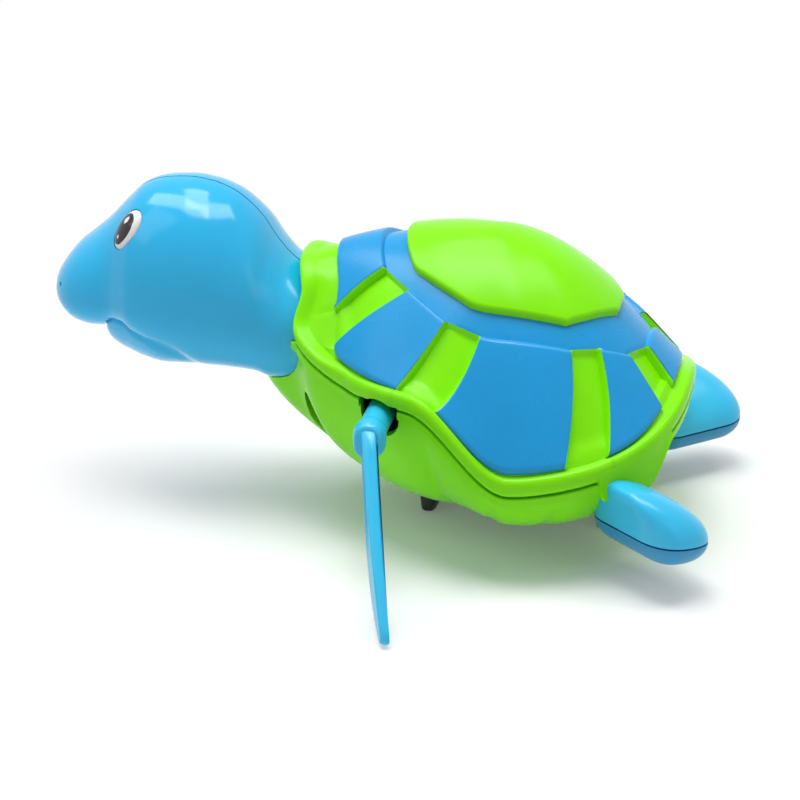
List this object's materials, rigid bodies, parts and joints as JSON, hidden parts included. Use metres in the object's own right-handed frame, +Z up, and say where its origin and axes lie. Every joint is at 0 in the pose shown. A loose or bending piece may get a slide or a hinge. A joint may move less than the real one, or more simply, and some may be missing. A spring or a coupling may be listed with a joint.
{
  "type": "wind-up bath toy",
  "caption": "Turtle-shaped wind-up bath toy: split plastic shell, glossy head, and front flippers that paddle, driven by a spring and gears wound by a knob in the belly.",
  "frame": {"origin": "middle of the bottom of the bounding box, on the surface that the toy stands on", "axes": "+X runs from the snout to the tail, +Y to the toy's right side, +Z up"},
  "size_m": [0.11, 0.104, 0.0533],
  "materials": {
    "shell_top": "lime-green moulding with satin blue spray paint on the ring and panels",
    "shell_green": "lime-green moulding, semi-gloss",
    "head": "bright blue moulding, high gloss",
    "eye": "white with a dark printed pupil, gloss",
    "flipper": "light blue moulding, semi-gloss",
    "gear": "ivory moulding, satin",
    "gearbox": "off-white moulding, satin",
    "steel": "bright drawn steel",
    "spring_steel": "rolled spring strip",
    "knob": "dark grey moulding, satin"
  },
  "bodies": {
    "body": {"upper_shell": "shell_top", "lower_shell": "shell_green", "head_left": "head", "head_right": "head", "eye_left": "eye", "eye_right": "eye", "gearbox_base": "gearbox", "gearbox_cover": "gearbox", "mainspring": "spring_steel", "shell_screw_1": "steel", "shell_screw_2": "steel", "shell_screw_3": "steel", "shell_screw_4": "steel", "gearbox_screw_1": "steel", "gearbox_screw_2": "steel", "gearbox_screw_3": "steel", "gearbox_screw_4": "steel"},
    "paddles": {"front_flipper_left": "flipper", "front_flipper_right": "flipper", "flipper_axle": "steel", "axle_pinion": "gear"},
    "crown": {"crown_gear": "gear", "intermediate_shaft": "steel"},
    "winder": {"winding_knob": "knob", "winding_arbor": "steel", "great_gear": "gear"}
  },
  "joints": [
    {"name": "paddle_spin", "type": "hinge", "parent": "body", "child": "paddles", "pos_m": [0.00323, 0, 0.0245], "axis": [0, 1, 0], "continuous": true},
    {"name": "crown_spin", "type": "hinge", "parent": "body", "child": "crown", "pos_m": [0.00323, 0.00912, 0.019], "axis": [0, 0, 1], "continuous": true},
    {"name": "winder_turn", "type": "hinge", "parent": "body", "child": "winder", "pos_m": [0.00733, 0, 0.01], "axis": [0, 0, 1], "continuous": true}
  ],
  "couplings": [
    {"joint": "crown_spin", "follows": "paddle_spin", "ratio": -0.5},
    {"joint": "winder_turn", "follows": "paddle_spin", "ratio": 0.16667}
  ]
}
